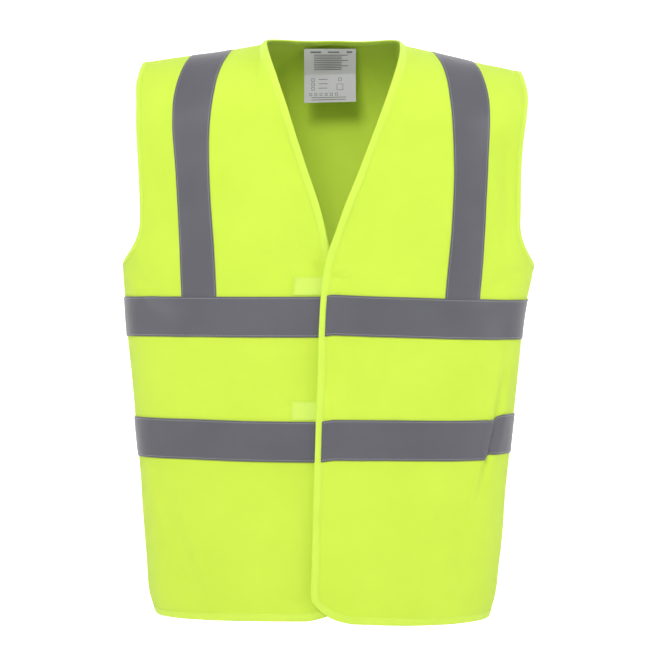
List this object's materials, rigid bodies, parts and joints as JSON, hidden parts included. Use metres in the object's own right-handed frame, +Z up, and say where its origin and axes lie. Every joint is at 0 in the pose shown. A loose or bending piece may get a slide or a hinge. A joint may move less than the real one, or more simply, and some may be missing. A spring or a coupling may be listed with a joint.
{
  "type": "high visibility vest",
  "caption": "Sleeveless fluorescent yellow-green safety vest with V neck, bound edges, grey reflective hoops and shoulder braces, front hook-and-loop tabs and a neck label.",
  "frame": {"origin": "midway between the two neck points, where a hanger or a pair of shoulders carries the vest", "axes": "+X towards the wearer's left, -Y out of the front, +Z up"},
  "size_m": [0.5288, 0.2733, 0.7417],
  "materials": {
    "hi_vis_knit": "matte warp-knitted polyester, fluorescent yellow-green",
    "edge_binding": "matte woven polyester edge binding, stitched",
    "reflective_tape": "grey glass-bead retroreflective tape with a soft satin sheen",
    "loop_tape": "fuzzy loop pile, pale yellow-green",
    "hook_tape": "fine moulded hooks, semi-matte",
    "label_satin": null
  },
  "bodies": {
    "vest_body": {"back_panel": "hi_vis_knit", "hem_binding": "edge_binding", "left_armhole_binding": "edge_binding", "left_front_panel": "hi_vis_knit", "left_shoulder_brace": "reflective_tape", "left_shoulder_seam": "hi_vis_knit", "left_side_seam": "hi_vis_knit", "lower_band_back": "reflective_tape", "lower_band_left_side": "reflective_tape", "lower_band_right_side": "reflective_tape", "neck_binding": "edge_binding", "right_armhole_binding": "edge_binding", "right_front_panel": "hi_vis_knit", "right_shoulder_brace": "reflective_tape", "right_shoulder_seam": "hi_vis_knit", "right_side_seam": "hi_vis_knit", "upper_band_back": "reflective_tape", "upper_band_left_side": "reflective_tape", "upper_band_right_side": "reflective_tape"},
    "left_front": {"left_front_binding": "edge_binding", "left_front_flap": "hi_vis_knit", "lower_band_left_flap": "reflective_tape", "lower_hook_tab": "hook_tape", "upper_band_left_flap": "reflective_tape", "upper_hook_tab": "hook_tape"},
    "right_front": {"lower_band_right_flap": "reflective_tape", "lower_loop_tab": "loop_tape", "right_front_binding": "edge_binding", "right_front_flap": "hi_vis_knit", "upper_band_right_flap": "reflective_tape", "upper_loop_tab": "loop_tape"},
    "label_top": {"label_upper": "label_satin"},
    "label_tail": {"label_lower": "label_satin"}
  },
  "joints": [
    {"name": "left_front_open", "type": "hinge", "parent": "vest_body", "child": "left_front", "pos_m": [0.08039, -0.12726, -0.42762], "axis": [-0.0821, 0.0039, 0.9966], "range_deg": [0, 120]},
    {"name": "right_front_open", "type": "hinge", "parent": "vest_body", "child": "right_front", "pos_m": [-0.08039, -0.12726, -0.42762], "axis": [-0.0821, -0.0039, -0.9966], "range_deg": [0, 60]},
    {"name": "label_lift", "type": "hinge", "parent": "vest_body", "child": "label_top", "pos_m": [0, 0.0572, -0.0045], "axis": [-1, 0, 0], "range_deg": [0, 100]},
    {"name": "label_bend", "type": "hinge", "parent": "label_top", "child": "label_tail", "pos_m": [0, 0.07651, -0.03664], "axis": [-1, 0, 0], "range_deg": [0, 80]}
  ],
  "couplings": [
    {"joint": "right_front_open", "follows": "left_front_open", "ratio": 0.5}
  ]
}
